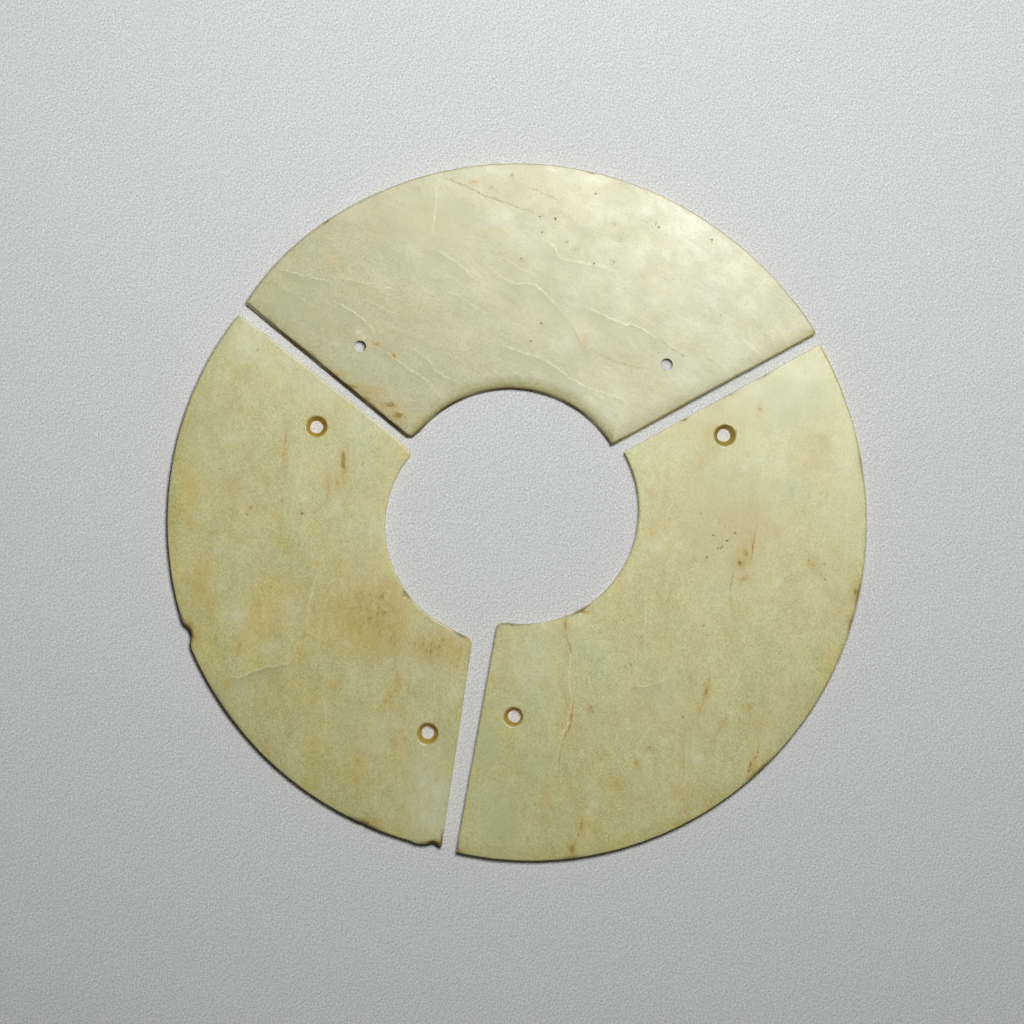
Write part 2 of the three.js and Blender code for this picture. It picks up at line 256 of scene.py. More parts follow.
# Soft-edged stains, for each plate and colour: x, y, half width and half height in mm, and strength.
STAINS = {
    "back_plate": {
        # Along the inner arc and the cuts these also paint the shade of those edges.
        "crust_and_shade": (
            (0, 37, 16, 4, 1), (-19, 32, 8, 5, 1), (19, 32, 8, 5, 1), (27, 22, 5, 6, 0.8),
            (-31, 24, 6, 5, 0.8), (-38, 28, 10, 8, 1), (-52, 39, 10, 9, 1), (-66, 50, 12, 9, 0.9),
            (58, 37, 24, 15, 0.3), (22, 102, 1.2, 1.2, 0.25), (-57.5, 87.5, 1, 1, 0.8),
        ),
        "brown": (
            (-43, 36, 5, 2.5, 0.6), (-38.5, 32, 4.5, 1.5, 0.8), (-35.5, 29, 2.5, 1.5, 1),
            (-55, 41.5, 5, 1, 0.7), (-50, 37.7, 4, 1, 0.8), (-46, 34, 3, 1, 0.8),
            (-28.5, 27.5, 2.5, 1, 0.35), (-42, 50.5, 1.5, 1, 0.7), (-37, 47, 1, 1, 0.7),
            (-13, 99, 1.5, 1, 0.6), (19.5, 51, 1, 1, 0.6), (-29, 91.5, 3, 1, 0.3),
            (-15.5, 37.5, 1.5, 0.5, 0.5),
        ),
        "ochre": (
            (-42, 84, 4, 2.5, 0.45), (-23, 85, 2, 2, 0.4), (-7, 84, 5, 1.5, 0.45),
            (-55, 76, 2.5, 2, 0.35), (27.5, 94, 1.5, 1, 0.4), (43, 80.5, 1.5, 1, 0.5),
            (42.5, 71.5, 1, 2, 0.4), (49, 49.5, 1, 1, 0.7), (46, 65.5, 1.5, 1.5, 0.35),
            (42.5, 36, 1, 2, 0.4), (-50, 54.5, 6, 2, 0.2), (-17, 81.5, 4, 2, 0.25), (25, 96.5, 6, 2, 0.2),
            (55, 90, 4, 1, 0.3), (82, 53, 5, 1, 0.4), (-2, 94, 14, 5, 0.3), (-26, 87, 12, 5, 0.4),
            (8, 98, 5, 4, 0.4), (42, 72, 2, 4, 0.35),
        ),
        # Those towards the upper right, over the outer arc, also paint the sheen of the lamp's reflection
        # there.
        "pale": (
            (0, 103, 10, 2, 0.2), (20, 101, 10, 2.5, 0.2), (38, 92, 12, 6, 0.25), (50, 81, 12, 9, 0.5),
            (66, 70, 8, 7, 0.4), (27, 33, 10, 8, 0.5), (60, 42, 12, 6, 0.3), (-47.5, 54, 1, 0.6, 1),
            (-46, 52.5, 1, 0.6, 0.9), (-30, 72.5, 3, 2, 0.25), (-5.5, 88.5, 4, 2.5, 0.3),
            (-49.5, 91.5, 4, 2.5, 0.25), (55, 78.5, 12, 7.5, 0.25), (13, 51.5, 6, 3, 0.25),
            (31, 35, 6.5, 2.5, 0.3), (22, 68, 4, 2, 0.2), (-14, 54.5, 5.5, 3, 0.2),
        ),
        "green": (
            (-26, 88, 12, 6, 0.95), (-68, 63.5, 6.5, 5, 0.8), (-60.5, 56, 5.5, 3, 0.5),
            (-48.5, 42.5, 6, 4, 0.45), (-23, 78.5, 6, 4, 0.2), (25, 48.5, 7, 4, 0.3),
            (37, 27.5, 6, 3, 0.3), (56.5, 66.5, 6, 5, 0.2),
        ),
    },
    "left_plate": {
        "crust_and_shade": (
            (-98.3, -35, 3, 4, 1), (-45, -93, 6, 3, 0.7), (-25, -99, 4, 3, 1), (-33.5, -25, 2, 2, 0.5),
            (-17, -40, 2, 5, 0.7), (-88, -58, 12, 14, 0.3),
        ),
        "brown": (
            (-59.5, 28.1, 1.5, 0.7, 0.5), (-25, -65, 0.7, 1.2, 0.8), (-26.8, -64, 1.4, 0.6, 0.8),
            (-52, 14.5, 1, 5, 1), (-54, 9, 1, 2.5, 0.6), (-56.5, 8, 1, 3.5, 0.55), (-69.5, 20, 1, 4, 0.5),
            (-80, 1, 1, 1, 0.9), (-75, 9, 0.6, 2, 0.4), (-65, 0, 1, 1, 0.4), (-60, -15.5, 1, 1, 0.45),
            (-44, -29.5, 11.5, 8, 0.68), (-49, -31.5, 1, 1, 0.6), (-42, -32, 1, 1, 0.7),
            (-41, -37, 1, 2, 0.85), (-37, -38, 1.5, 2.5, 0.8), (-25, -40, 8, 4.5, 0.66),
            (-38, -36, 5, 7, 0.4), (-52, -41.5, 4, 4, 0.3), (-17.5, -41, 1.5, 3, 0.5),
            (-36, -51, 1, 2.5, 0.6), (-38.5, -55, 1, 2, 0.75), (-39.5, -57, 0.7, 1, 0.9),
            (-55, -52, 2, 1.5, 0.5), (-37, -69, 0.8, 1.5, 0.6), (-48, -74.5, 0.8, 2, 0.6),
            (-48, -80, 1, 1, 0.4), (-75, -71, 1, 3, 0.5), (-45, -93, 3.5, 1, 0.8), (-25, -99, 2, 0.6, 1),
            (-34, -25, 1, 0.6, 0.7), (-98.5, -34.5, 1, 2, 0.75), (-96.5, -37.5, 1.5, 2.5, 0.4),
            (-83.5, -40.5, 1, 2, 0.5), (-75.5, -57, 1, 1.5, 0.4), (-87, -51.5, 1, 2, 0.6),
            (-50, -17.5, 8, 6.5, 0.22), (-65, -56.5, 8, 6, 0.12),
        ),
        "ochre": (
            (-98, -3.5, 1.5, 1, 0.8), (-95.5, -4.5, 1.5, 1, 0.7), (-91, -6.5, 1.5, 1, 0.75),
            (-80.5, 42, 3, 2, 0.4), (-92, 36.5, 2.5, 2.5, 0.35), (-86, 32, 3, 3, 0.35),
            (-87.5, 7.5, 6, 4, 0.35), (-83, -8.5, 3.5, 2, 0.4), (-94.5, -20.5, 3.5, 6.5, 0.6),
            (-76.5, -33, 2, 2, 0.4), (-92, -26.5, 2.5, 4, 0.4), (-77, -14.5, 3, 5.5, 0.25),
            (-75.5, 1, 2.5, 1.5, 0.3), (-98, 6.5, 3, 9, 0.3), (-43, -37, 10, 7, 0.45),
            (-77, -32, 8, 9, 0.25),
        ),
        "pale": (
            (-45, 27, 7, 5, 0.45), (-57, 37, 8, 6, 0.45), (-70, 46, 8, 7, 0.65), (-80, 52, 6, 7, 0.7),
            (-26, -86, 8, 12, 0.7), (-42, -66, 11, 8, 0.35), (-42, -6, 7, 12, 0.35),
            (-85, 22, 2.5, 1.5, 0.5), (-90, -11.5, 1.5, 1, 0.5), (-84, -31, 3, 2, 0.75),
            (-79.5, -37.5, 1, 1.5, 0.7), (-74.5, -41, 2.5, 2, 0.55), (-63, 10.5, 5.5, 6.5, 0.3),
            (-40, -64, 1, 1, 0.8), (-36.5, -64, 1, 1, 0.9), (-82.5, -54, 3.5, 2.5, 0.35),
            (-30, -48.5, 5, 3, 0.4), (-18.5, -54, 2, 2.5, 0.5), (-32, -23.5, 3.5, 6.5, 0.3),
            (-68, -26.5, 3, 6, 0.25), (-18.5, -36, 2.5, 1, 0.4), (-77, 36.5, 5.5, 3.5, 0.2),
            (-40.5, -82.5, 1.5, 1, 0.4),
        ),
        "green": (
            (-95, 21.5, 6.5, 12, 0.3), (-92, -56.5, 4, 6, 0.3), (-28, -84, 6, 10, 0.5),
            (-47, -65.5, 8, 5.5, 0.25), (-86, -14.5, 5, 5, 0.2),
        ),
    },
    "right_plate": {
        "crust_and_shade": (
            (20, -30, 4, 2, 0.7), (-2, -34, 5, 2, 0.4), (50, 28, 1, 1, 0.4), (64, 35.5, 3, 2, 0.15),
            (74, 41, 3, 2, 0.2), (101, -24, 2, 4, 0.8), (99.5, -33, 2, 3, 0.6), (102, 14, 3, 4, 0.4),
            (72, -76, 4, 6, 0.7), (16, -102, 3, 2, 0.8), (50, -91, 2, 2, 0.5), (-18, -101, 2, 2, 0.5),
        ),
        "brown": (
            (0.2, -59.6, 1.3, 0.8, 0.8), (60.2, 24, 0.8, 1.2, 0.9), (62, 25.4, 1.6, 0.6, 0.9),
            (64.7, 22.6, 0.7, 1.5, 0.5), (73, 30.5, 1, 2.5, 0.6), (69, 17.5, 1, 1, 0.6),
            (55, 14.5, 1, 2, 0.45), (40.5, 5.5, 1, 1.5, 0.5), (45.5, -2.5, 0.6, 1, 0.5),
            (40.5, -5.5, 1, 2, 0.6), (53.5, -9.5, 1, 1, 0.5), (53, -14.5, 1, 1, 0.75),
            (56, -14.5, 1, 1, 0.5), (61, -3, 0.6, 1.5, 0.4), (68.5, -12.5, 2, 2.5, 0.6),
            (67, -15.5, 1.5, 1.5, 1), (68, -20, 1.5, 1, 0.7), (70.5, -9, 0.8, 2.5, 0.6),
            (92, 22, 2, 1.5, 0.5), (88.5, 20.5, 1, 1, 0.4), (91.5, 9, 3.5, 2.5, 0.3),
            (77.5, -5.5, 2.5, 2, 0.3), (76, -26.5, 2, 1.5, 0.45), (88.5, -15.5, 2.5, 2.5, 0.55),
            (90.5, -18, 1.5, 2, 0.5), (101.5, -24, 1, 2, 0.8), (99.5, -33, 1, 1.5, 0.4),
            (22, -59.5, 1, 1, 0.65), (56.5, -54.5, 1, 2.5, 0.75), (55, -59, 1, 2, 0.5),
            (69, -58.5, 1.5, 1, 0.65), (62.5, -63, 1, 2, 0.5), (59, -68.5, 1, 1, 0.4),
            (70.5, -76, 1, 3.5, 0.6), (36, -75.5, 1, 1.5, 0.55), (39.5, -71, 1, 1, 0.5),
            (29.5, -81, 2, 2, 0.45), (19, -94.5, 1, 2.5, 0.6), (16.5, -101, 1, 2, 0.9),
            (14.5, -33.5, 0.8, 2, 0.7), (20, -30, 2, 0.6, 0.9), (51, -89, 0.8, 2.5, 0.5),
            (37, -39, 1, 1.5, 0.45), (15, -57.5, 1, 4, 0.4), (15.5, -41, 1, 3.5, 0.3),
            (49.5, -74.5, 0.8, 5.5, 0.3), (41.5, 24.5, 3, 4, 0.12), (91, 17, 5, 6.5, 0.3),
            (82, -32.5, 4, 6, 0.15), (65.5, -38.5, 2.5, 6, 0.2),
        ),
        "ochre": (
            (61, 26, 9, 6, 0.45), (66, -2, 12, 9, 0.6), (67, -13, 5, 8, 0.55), (57, 17, 2.5, 2, 0.4),
            (47.5, -84.5, 2, 2.5, 0.7), (48.5, -93.5, 2, 1, 0.6), (8.5, -86, 1.5, 3.5, 0.45),
            (7.5, -92, 1.5, 2.5, 0.4), (-4.5, -50.5, 5, 2, 0.4), (8.5, -51.5, 2.5, 1.5, 0.35),
            (-16.5, -101.5, 3, 1, 0.5), (85, 13.5, 3.5, 2.5, 0.35), (95.5, -26.5, 3, 7, 0.45),
            (55, -83.5, 3.5, 3.5, 0.3), (37, -86.5, 4, 2.5, 0.3), (43, -38.5, 3, 5.5, 0.25),
            (85, -56.5, 6.5, 6, 0.3), (76, -80.5, 2.5, 3, 0.2), (60.5, -14.5, 4, 3, 0.3),
            (13, -38.5, 2.5, 4, 0.3), (-3.5, -41.5, 2.5, 7, 0.3),
        ),
        # Those at the top corner also paint the sheen of the lamp's reflection there.
        "pale": (
            (86, 44, 6, 6, 0.3), (70, 35, 10, 5, 0.2), (100, 6, 4, 14, 0.35), (4, -46, 9, 9, 0.4),
            (43, -58, 12, 9, 0.3), (-10, -84, 6, 10, 0.2), (44.5, -8, 1.5, 1, 0.7), (48, -10, 1, 1, 0.6),
            (41.5, -10.5, 2.5, 1.5, 0.4), (68.5, 13.5, 1, 1, 0.6), (78.5, -20.5, 1, 1, 0.8),
            (88.5, -10.5, 1, 1, 0.6), (23, -87.5, 1.5, 1.5, 0.8), (24, -84.5, 1, 1.5, 0.6),
            (22, -82.5, 1, 1, 0.6), (54, -74, 2.5, 2, 0.55), (2, -50, 1, 0.6, 0.7),
            (1, -41.5, 3.5, 2.5, 0.35), (97, -20.5, 2.5, 3, 0.4), (79, 15, 2.5, 1, 0.4),
            (99, 4.5, 1, 1, 0.4), (61, -23.5, 4, 3, 0.25), (25, -44.5, 6, 5, 0.25),
            (55, -32.5, 4, 3.5, 0.3), (88, 42, 7, 4, 0.35), (32.5, -56.5, 6, 3, 0.25),
            (76, -68.5, 4, 4, 0.3), (21, -90, 1, 1, 0.6), (-11, -92.5, 5, 4, 0.2),
        ),
        "green": (
            (64, 4, 13, 14, 0.6), (80, 34, 13, 9, 0.8), (61, 27, 7, 5, 0.7), (5.5, -54.5, 5.5, 5, 0.3),
            (-8, -69.5, 3.5, 8, 0.7), (4, -74.5, 5.5, 5.5, 0.6), (-5, -91, 6, 9, 0.9),
            (13, -92.5, 6, 5, 0.4), (25, -65.5, 6, 5, 0.3), (55, -68.5, 5.5, 6, 0.2),
            (91, -2.5, 6, 5.5, 0.2), (40, -80.5, 6, 4, 0.3),
        ),
        "damp": (
            (59, 23, 3.5, 3.8, 0.6), (57.8, 22.5, 3.2, 3.4, 0.55), (59, 20, 3, 2.5, 0.45),
            (63, 28, 14, 8, 0.12), (80, 34, 14, 9, 0.1),
        ),
    },
}

# Dark mineral specks, in mm.
SPECKS = {
    "back_plate": (
        (7, 88.5), (11.5, 88), (7.5, 84), (15, 81), (17.5, 79), (23.5, 95.5), (29, 86.5), (31, 81.5),
        (29, 75), (23, 74.5), (32.5, 67), (41.5, 86.5), (42.5, 85.5), (58.5, 81.5), (4, 51.5),
        (7.5, 56.5), (1, 76), (-7.5, 97.5), (-1.5, 101),
    ),
    "left_plate": (
        (-78.5, -65.5), (-93.5, -41.5), (-96, 5.5), (-89, 13), (-57.5, 15), (-78, 48.5), (-70.5, 3.5),
        (-81, -0.5), (-79.5, 1.5), (-53, -8.5), (-64.5, -0.5), (-34, -24),
    ),
    "right_plate": (
        (55, -0.5), (59, -7), (50, 28), (65.5, -6.5), (63, -8.5), (61.5, -10.5), (60.5, -11), (57, -13.5),
        (87.5, -14.5), (89, -16), (90, -18), (92, -15.5), (92.5, -20), (91, -10), (37.5, -37.5),
        (39, -39.5), (32.5, -46.5), (34, -46), (56, -34), (57, -37), (50, -61.5), (39.5, -70.5),
        (35, -70.5), (36, -75), (-1.5, -34), (22, -58.5), (22.5, -60), (67, -15.5),
    ),
}

STAIN_KINDS = ("crust_and_shade", "brown", "ochre", "pale", "green", "damp")
LINE_REACH = 1.6               # mm from a line's middle within which it is drawn
LINE_WIDTH = 0.42              # mm that it is wide where its strength is even
TAPER_RATE = 5                 # a line fades out over the last fifth of its length at each end
VEIL_REACH = 12.0              # mm below a vein that its shade may spread
VEIL_FADE = 5.0                # mm over which it weakens
VEIL_PARTING = 2.5             # mm over which one vein's shade gives way to the next one's
CURVE_STEPS = 8                # points to each span of a smooth line
STAIN_FALL = 0.8               # how fast a stain weakens outwards
SPECK_FAR = 2.0                # mm up to which the distance to a speck is kept
HOLE_FAR = 8.0                 # mm up to which the distance to a hole is kept
EDGE_FAR = 8                   # mm up to which the distance to an outline is kept


# ---------------------------------------------------------------- outlines

def merged_copy(node):
    """A mesh of one CAD node with its loose triangles joined up."""
    solid = bmesh.new()
    solid.from_mesh(node.data)
    bmesh.ops.remove_doubles(solid, verts=solid.verts, dist=WELD)
    return solid


def closed_loops(edges):
    """The closed loops that some edges make, each as its corners' x and y in order."""
    beside = {}
    for edge in edges:
        for vert in edge.verts:
            beside.setdefault(vert, []).append(edge.other_vert(vert))
    loops = []
    while beside:
        start = min(beside, key=lambda vert: tuple(vert.co))
        loop = [start]
        previous, here = None, start
        while True:
            ahead = [vert for vert in beside.pop(here) if vert is not previous]
            previous, here = here, ahead[0]
            if here is start:
                break
            loop.append(here)
        loops.append(np.array([vert.co[:2] for vert in loop]))
    return loops


def widest_outline(solid):
    """The plate's outline where it is widest, just under its eased upper edge."""
    heights = sorted({round(vert.co.z, 6) for vert in solid.verts})
    level = heights[-2]
    ring = [edge for edge in solid.edges if all(abs(vert.co.z - level) < WELD for vert in edge.verts)]
    return max(closed_loops(ring), key=len)


def drilled_mouths(solid, level):
    """Centre and radius of each hole where it meets the flat face at one height."""
    rims = []
    for edge in solid.edges:
        if any(abs(vert.co.z - level) > WELD for vert in edge.verts):
            continue
        flat = [all(abs(vert.co.z - level) < WELD for vert in face.verts) for face in edge.link_faces]
        if flat.count(True) == 1:
            rims.append(edge)
    loops = sorted(closed_loops(rims), key=lambda loop: np.ptp(loop[:, 0]))
    mouths = []
    for loop in loops[:-1]:
        centre = loop.mean(axis=0)
        mouths.append((centre, np.linalg.norm(loop - centre, axis=1).mean()))
    return sorted(mouths, key=lambda mouth: mouth[0][0])


def evenly_spaced(points, step):
    """A closed ring again, as points a step apart."""
    closed = np.vstack([points, points[:1]])
    run = np.concatenate([[0], np.cumsum(np.linalg.norm(np.diff(closed, axis=0), axis=1))])
    places = np.linspace(0, run[-1], round(run[-1] / step), endpoint=False)
    return np.column_stack([np.interp(places, run, closed[:, axis]) for axis in (0, 1)])


def softened(values, passes):
    """A closed ring of values, smoothed along the ring."""
    for _ in range(passes):
        values = (np.roll(values, 1, axis=0) + 2 * values + np.roll(values, -1, axis=0)) / 4
    return values


def nearest(ring, place):
    return int(np.argmin(np.linalg.norm(ring - place, axis=1)))


def inward(ring):
    """Directions into the plate, at right angles to a counter-clockwise ring."""
    along = np.roll(ring, -1, axis=0) - np.roll(ring, 1, axis=0)
    along /= np.linalg.norm(along, axis=1)[:, None]
    return np.column_stack([-along[:, 1], along[:, 0]])


def along_sides(ring, marks, starts, ends):
    """A value for each point of a ring, which runs evenly from one to another along each side."""
    values = np.empty(len(ring))
    for start, end, first, last in zip(marks, marks[1:] + [len(ring)], starts, ends):
        values[start:end] = np.linspace(first, last, end - start)
    return values


def worn_outline(points, corners, chips, let_out):
    """The outline with a hand-worked waver and chips, and where its four corners fall along it."""
    ring = evenly_spaced(points, RING_STEP)
    area = np.sum(ring[:, 0] * np.roll(ring[:, 1], -1) - np.roll(ring[:, 0], -1) * ring[:, 1])
    if area < 0:
        ring = ring[::-1]
    ring = softened(ring, RING_SOFTENING)
    ring = np.roll(ring, -nearest(ring, np.array(corners[0]) * MM), axis=0)
    swings = np.array([noise.noise(Vector((x, y, 0)) / LONG_SWING) for x, y in ring])
    swings += 0.6 * np.array([noise.noise(Vector((x, y, 1)) / SHORT_SWING) for x, y in ring])
    bite = EDGE_WANDER * (np.clip(swings, -1, 1) + 1) / 2
    marks = [nearest(ring, np.array(corner) * MM) for corner in corners]
    bite -= softened(along_sides(ring, marks, let_out, let_out) * MM, LET_OUT_SOFTENING)
    for x, y, half_width, depth, _ in chips:
        away = np.linalg.norm(ring - np.array((x, y)) * MM, axis=1) / (half_width * MM)
        bite += depth * MM * np.clip(1 - away, 0, 1)
    ring = ring + inward(ring) * bite[:, None]
    return ring, [nearest(ring, np.array(corner) * MM) for corner in corners]


def sides_of(ring, marks):
    """The ring's four sides, corner to corner: a cut, the outer arc, a cut, the inner arc."""
    ends = marks[1:] + [len(ring)]
    wrapped = np.vstack([ring, ring[:1]])
    return [wrapped[start:end + 1] for start, end in zip(marks, ends)]


# ---------------------------------------------------------------- the plates' form

def length_of(line):
    return float(np.linalg.norm(np.diff(line, axis=0), axis=1).sum())


def stations(length, cell, rim_steps):
    """Fractions along a length: fine at both ends, where the edge rounds over, and even between."""
    ends = np.array(rim_steps) * MM
    middle = length - 2 * ends[-1]
    even = ends[-1] + np.linspace(0, middle, round(middle / cell) + 1)[1:-1]
    return np.concatenate([ends, even, length - ends[::-1]]) / length


def sampled(line, fractions):
    """Points at given fractions of a line's length."""
    run = np.concatenate([[0], np.cumsum(np.linalg.norm(np.diff(line, axis=0), axis=1))])
    return np.column_stack([np.interp(fractions * run[-1], run, line[:, axis]) for axis in (0, 1)])


def fitted_grid(plate, sides, cell, rim_steps):
    """A grid stretched between the plate's four sides."""
    cut_start, outer, cut_end, inner = sides[0], sides[1], sides[2][::-1], sides[3][::-1]
    round_way = stations((length_of(outer) + length_of(inner)) / 2, cell, rim_steps)
    across = stations((length_of(cut_start) + length_of(cut_end)) / 2, cell, rim_steps)
    outer_line, inner_line = sampled(outer, round_way), sampled(inner, round_way)
    start_line, end_line = sampled(cut_start, across), sampled(cut_end, across)
    made = bmesh.ops.create_grid(plate, x_segments=len(round_way) - 1, y_segments=len(across) - 1, size=1)
    for vert in made["verts"]:
        i = round((vert.co.x + 1) / 2 * (len(round_way) - 1))
        j = round((vert.co.y + 1) / 2 * (len(across) - 1))
        u, v = round_way[i], across[j]
        spot = (1 - v) * inner_line[i] + v * outer_line[i] + (1 - u) * start_line[j] + u * end_line[j]
        spot -= (1 - v) * ((1 - u) * inner_line[0] + u * inner_line[-1])
        spot -= v * ((1 - u) * outer_line[0] + u * outer_line[-1])
        vert.co.x, vert.co.y = spot
    return made["verts"]


class Edge:
    """Distances to a plate's outline, and how much its faces dip there."""

    def __init__(self, ring, marks, shapes):
        self.tree = kdtree.KDTree(len(ring))
        for index, (x, y) in enumerate(ring):
            self.tree.insert((x, y, 0), index)
        self.tree.balance()
        starts, ends, radii, leans, _ = zip(*shapes)
        worn = np.array([1 + 0.4 * noise.noise(Vector((x, y, 5)) / WEAR_LENGTH) for x, y in ring])
        self.dome = softened(along_sides(ring, marks, starts, ends) * MM, DOME_SOFTENING)
        self.radius = softened(along_sides(ring, marks, radii, radii) * MM, WEAR_SOFTENING) * worn
        self.lean = softened(along_sides(ring, marks, leans, leans) * MM, WEAR_SOFTENING) * worn

    def drop(self, x, y):
        """How far a face has dropped at one place, and the distance to the outline."""
        _, index, distance = self.tree.find((x, y, 0))
        slope = max(0, 1 - distance / DOME_REACH) ** 2
        arris = ARRIS_DEPTH * max(0, 1 - distance / ARRIS_REACH) ** 2
        lean = self.lean[index]
        steep = LEAN_DEPTH * max(0, 1 - distance / lean) if lean > LEAN_LEAST else 0
        inside = min(1, max(0, 1 - (distance - lean) / self.radius[index]))
        rounding = self.radius[index] * (1 - sqrt(1 - inside ** 2))
        return self.dome[index] * slope + arris + rounding + steep, distance


def hollows(x, y, seed):
    """Shallow hollows left by grinding, always downwards."""
    broad = noise.noise(Vector((x, y, 0)) / WAVE_LENGTH + Vector((0, 0, seed)))
    fine = noise.noise(Vector((x, y, 0)) / (WAVE_LENGTH / 3) + Vector((0, 0, seed + 7)))
    return WAVE_DEPTH * (1 + 0.8 * broad + 0.2 * fine) / 2


def chip_drop(x, y, chips):
    """How far chips have taken an upper edge down at one place."""
    drop = 0
    for chip_x, chip_y, half_width, _, depth in chips:
        away = sqrt((x - chip_x * MM) ** 2 + (y - chip_y * MM) ** 2) / (half_width * MM)
        if away < 1:
            drop = max(drop, depth * MM * (1 - away ** 2) ** 2)
    return drop


def drill_bit(mouth_above, mouth_under, low, high, aside):
    """A solid of the shape that a drill has taken out, a little longer than the plate is thick."""
    (centre, radius_above), (_, radius_under) = mouth_above, mouth_under
    rise = high - low
    rings = WALL_BANDS * BAND_RINGS
    profile = [(0, low - rise / 2), (radius_under + LOWER_FLARE, low - rise / 2)]
    for step in range(rings + 1):
        height = low + rise * step / rings
        radius = radius_under + (radius_above - radius_under) * (height - low) / rise
        ridge = RIDGE_DEPTH if step % BAND_RINGS == 0 else 0
        lip = LIP_FLARE * max(0, 1 - (high - height) / LIP_DEPTH) ** 2
        lip += LOWER_FLARE * max(0, 1 - (height - low) / LIP_DEPTH) ** 2
        profile.append((radius + ridge + lip, height))
    profile += [(radius_above + LIP_FLARE, high + rise / 2), (0, high + rise / 2)]
    bit = bmesh.new()
    points = [bit.verts.new((radius, 0, height)) for radius, height in profile]
    edges = [bit.edges.new(pair) for pair in zip(points, points[1:])]
    bmesh.ops.spin(
        bit, geom=points + edges, cent=(0, 0, 0), axis=(0, 0, 1),
        angle=tau, steps=DRILL_STEPS, use_merge=True,
    )
    bmesh.ops.remove_doubles(bit, verts=bit.verts, dist=WELD)
    for vert in bit.verts:
        depth = min(1, max(0, (high - vert.co.z) / rise))
        lump = noise.noise(Vector((vert.co.x, vert.co.y, centre[0])) / WALL_LUMP)
        out = 1 + (WALL_UNEVEN + DEEP_UNEVEN * depth ** 3) * lump
        vert.co.x = vert.co.x * out + aside[0] * MM * depth
        vert.co.y = vert.co.y * out + aside[1] * MM * depth
    bmesh.ops.translate(bit, vec=(centre[0], centre[1], 0), verts=bit.verts)
    bmesh.ops.recalc_face_normals(bit, faces=bit.faces)
    return bit


def as_object(mesh_data, name):
    mesh = bpy.data.meshes.new(name)
    mesh_data.to_mesh(mesh)
    mesh_data.free()
    thing = bpy.data.objects.new(name, mesh)
    bpy.context.scene.collection.objects.link(thing)
    return thing


def cut_away(plate, bit):
    """Takes the shape of a drill bit out of a plate."""
    modifier = plate.modifiers.new("drilled", "BOOLEAN")
    modifier.operation = "DIFFERENCE"
    modifier.solver = "EXACT"
    modifier.object = bit
    bpy.context.view_layer.update()
    drilled = bpy.data.meshes.new_from_object(plate.evaluated_get(bpy.context.evaluated_depsgraph_get()))
    plate.modifiers.clear()
    plate.data = drilled
    bpy.data.objects.remove(bit)


def jade_plate(name, seed):
    """One plate: domed and worn faces fitted inside its CAD solid, with its drilled holes."""
    node_name, _, corners = PLATES[name]
    chips = CHIPS[name]
    solid = merged_copy(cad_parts[node_name])
    low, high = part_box(node_name)
    bottom, top = low.z + SKIN, high.z - SKIN
    ring, marks = worn_outline(widest_outline(solid), corners, chips, [side[4] for side in EDGES[name]])
    sides = sides_of(ring, marks)
    edge = Edge(ring, marks, EDGES[name])

    plate = bmesh.new()
    for vert in fitted_grid(plate, sides, FACE_CELL, RIM_STEPS):
        drop, _ = edge.drop(vert.co.x, vert.co.y)
        drop += hollows(vert.co.x, vert.co.y, seed) + chip_drop(vert.co.x, vert.co.y, chips)
        vert.co.z = top - min(drop, (top - bottom) * MOST_DROP)
    for vert in fitted_grid(plate, sides, UNDER_CELL, UNDER_STEPS):
        _, distance = edge.drop(vert.co.x, vert.co.y)
        vert.co.z = bottom + UNDER_ROUND * max(0, 1 - distance / UNDER_ROUND) ** 2
    borders = [rim for rim in plate.edges if rim.is_boundary]
    bmesh.ops.bridge_loops(plate, edges=borders)
    bmesh.ops.recalc_face_normals(plate, faces=plate.faces)
    thing = as_object(plate, name)

    mouths = drilled_mouths(solid, high.z)
    for mouth_above, mouth_under, aside in zip(mouths, drilled_mouths(solid, low.z), DRILL_LEANS[name]):
        cut_away(thing, as_object(drill_bit(mouth_above, mouth_under, low.z, high.z, aside), "bit"))
    solid.free()
    thing.data.name = name
    thing.data.shade_smooth()
    thing.data.set_sharp_from_angle(angle=SHARP_ANGLE)
    return thing, edge, mouths


# ---------------------------------------------------------------- marks in the stone

def smooth_line(points):
    """A smooth line through given points, in mm."""
    given = [np.array(point) for point in points]
    run = [2 * given[0] - given[1], *given, 2 * given[-1] - given[-2]]
    line = []
    for before, start, end, after in zip(run, run[1:], run[2:], run[3:]):
        bend = 2 * before - 5 * start + 4 * end - after
        turn = 3 * start - before - 3 * end + after
        for step in range(CURVE_STEPS):
            t = step / CURVE_STEPS
            line.append(0.5 * (2 * start + (end - before) * t + bend * t ** 2 + turn * t ** 3))
    line.append(given[-1].astype(float))
    return np.array(line)


def beside_line(places, line):
    """For places near a line: signed distance to it, and how far along it they are, 0 to 1."""
    starts, steps = line[:-1], np.diff(line, axis=0)
    reach = places[:, None, :] - starts[None, :, :]
    along = np.clip((reach * steps).sum(axis=2) / (steps ** 2).sum(axis=1), 0, 1)
    gaps = reach - along[:, :, None] * steps
    distance = np.linalg.norm(gaps, axis=2)
    index = distance.argmin(axis=1)
    rows = np.arange(len(places))
    side = steps[index, 0] * gaps[rows, index, 1] - steps[index, 1] * gaps[rows, index, 0]
    return np.where(side < 0, -1, 1) * distance[rows, index], (index + along[rows, index]) / len(steps)


